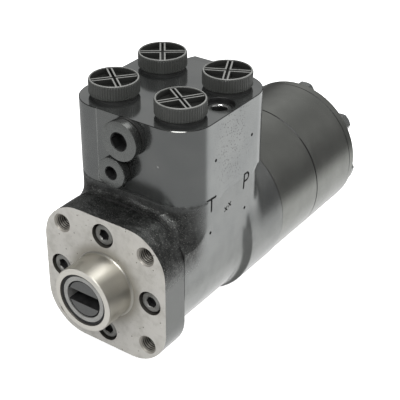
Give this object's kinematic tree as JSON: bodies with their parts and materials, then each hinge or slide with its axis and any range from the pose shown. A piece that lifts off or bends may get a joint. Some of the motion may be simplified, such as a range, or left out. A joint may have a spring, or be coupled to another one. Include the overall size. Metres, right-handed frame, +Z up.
{
  "type": "hydrostatic steering unit",
  "caption": "Hydraulic hand metering pump and rotary valve in one black unit: square column flange with a slotted drive, capped ports on top and a round bolted metering section behind.",
  "frame": {"origin": "centre of the column bolt circle, on the shaft's axis in the plane of the flange's front face", "axes": "+X to the right seen from the front, +Y back along the shaft, +Z up towards the ports"},
  "size_m": [0.091, 0.233, 0.15],
  "materials": {
    "painted_casting": "satin black paint on a machined and cast iron housing",
    "bare_flange": "bare machined face and boss with a black cast rim",
    "ring_paint": "smooth satin dark grey paint",
    "black_steel": "black oxide steel",
    "ground_steel": "ground steel",
    "valve_steel": "dark ground steel",
    "spring_steel": "tempered spring steel",
    "brass_cage": "brass cage",
    "rubber": "black nitrile rubber",
    "cap_plastic": "black moulded plastic with light wear on the ribs",
    "zinc_steel": "zinc plated steel"
  },
  "bodies": {
    "body": {"housing": "painted_casting", "port_block": "painted_casting", "front_flange": "bare_flange", "flange_screws": "black_steel", "flange_o_ring": "rubber", "dust_seal": "rubber", "shaft_seal": "rubber", "bearing_front_race": "ground_steel", "distributor_plate": "ground_steel", "front_stator_ring": "ring_paint", "rear_stator_ring": "ring_paint", "plate_o_ring": "rubber", "middle_o_ring": "rubber", "cover_o_ring": "rubber", "end_cover": "ring_paint", "cover_washers": "black_steel", "cover_bolts": "black_steel", "port_gaskets": "rubber", "large_plug": "black_steel", "large_plug_washer": "rubber", "large_valve_spring": "spring_steel", "small_plug": "black_steel", "small_plug_washer": "rubber", "small_valve_spring": "spring_steel", "top_plug": "zinc_steel", "top_valve_spring": "spring_steel", "check_bushing": "zinc_steel"},
    "bearing_cage": {"bearing_cage": "brass_cage", "bearing_needles": "ground_steel"},
    "sleeve": {"sleeve": "valve_steel", "cross_pin": "ground_steel", "spring_ring": "valve_steel", "leaf_springs": "spring_steel", "bearing_rear_race": "ground_steel"},
    "spool": {"spool": "valve_steel", "drive_insert": "valve_steel"},
    "orbit": {"rotor_spacer": "zinc_steel"},
    "rotors": {"front_rotor": "ground_steel", "rear_rotor": "ground_steel", "rotor_coupling": "valve_steel"},
    "cardan": {"cardan_shaft": "valve_steel"},
    "large_poppet": {"large_valve_poppet": "ground_steel"},
    "small_ball": {"small_valve_ball": "ground_steel"},
    "top_poppet": {"top_valve_poppet": "ground_steel"},
    "check_ball": {"check_ball": "ground_steel"},
    "port_cap_left_front": {"port_cap_left_front": "cap_plastic"},
    "port_cap_right_front": {"port_cap_right_front": "cap_plastic"},
    "port_cap_left_rear": {"port_cap_left_rear": "cap_plastic"},
    "port_cap_right_rear": {"port_cap_right_rear": "cap_plastic"}
  },
  "joints": [
    {"name": "sleeve_turn", "type": "hinge", "parent": "body", "child": "sleeve", "pos_m": [0, 0.06, 0], "axis": [0, 1, 0], "continuous": true},
    {"name": "spool_lag", "type": "hinge", "parent": "sleeve", "child": "spool", "pos_m": [0, 0.06, 0], "axis": [0, 1, 0], "range_deg": [-8, 8], "stiffness_Nm_per_rad": 5, "deforming": ["leaf_springs"]},
    {"name": "cage_turn", "type": "hinge", "parent": "body", "child": "bearing_cage", "pos_m": [0, 0.0146, 0], "axis": [0, 1, 0], "continuous": true},
    {"name": "rotor_orbit", "type": "hinge", "parent": "body", "child": "orbit", "pos_m": [0, 0.185, 0], "axis": [0, 1, 0], "continuous": true},
    {"name": "rotor_spin", "type": "hinge", "parent": "orbit", "child": "rotors", "pos_m": [0.0026, 0.14, 0], "axis": [0, 1, 0], "continuous": true},
    {"name": "cardan_spin", "type": "hinge", "parent": "orbit", "child": "cardan", "pos_m": [0, 0.0636, 0], "axis": [0.0354, 0.9994, 0], "continuous": true},
    {"name": "large_poppet_slide", "type": "slide", "parent": "body", "child": "large_poppet", "axis": [0, -1, 0], "range_m": [0, 0.003], "stiffness_N_per_m": 2000, "springref_m": -0.005, "deforming": ["large_valve_spring"]},
    {"name": "small_ball_slide", "type": "slide", "parent": "body", "child": "small_ball", "axis": [0, -1, 0], "range_m": [0, 0.002], "stiffness_N_per_m": 500, "springref_m": -0.004, "deforming": ["small_valve_spring"]},
    {"name": "top_poppet_slide", "type": "slide", "parent": "body", "child": "top_poppet", "axis": [0, 0, 1], "range_m": [0, 0.002], "stiffness_N_per_m": 1000, "springref_m": -0.004, "deforming": ["top_valve_spring"]},
    {"name": "check_ball_slide", "type": "slide", "parent": "body", "child": "check_ball", "axis": [0, 0, 1], "range_m": [0, 0.0017]},
    {"name": "port_cap_left_front_lift", "type": "slide", "parent": "body", "child": "port_cap_left_front", "axis": [0, 0, 1], "range_m": [0, 0.024]},
    {"name": "port_cap_right_front_lift", "type": "slide", "parent": "body", "child": "port_cap_right_front", "axis": [0, 0, 1], "range_m": [0, 0.024]},
    {"name": "port_cap_left_rear_lift", "type": "slide", "parent": "body", "child": "port_cap_left_rear", "axis": [0, 0, 1], "range_m": [0, 0.024]},
    {"name": "port_cap_right_rear_lift", "type": "slide", "parent": "body", "child": "port_cap_right_rear", "axis": [0, 0, 1], "range_m": [0, 0.024]}
  ],
  "couplings": [
    {"joint": "rotor_orbit", "follows": "sleeve_turn", "ratio": -6},
    {"joint": "rotor_spin", "follows": "sleeve_turn", "ratio": 7},
    {"joint": "cardan_spin", "follows": "sleeve_turn", "ratio": 7},
    {"joint": "cage_turn", "follows": "sleeve_turn", "ratio": 0.5}
  ]
}
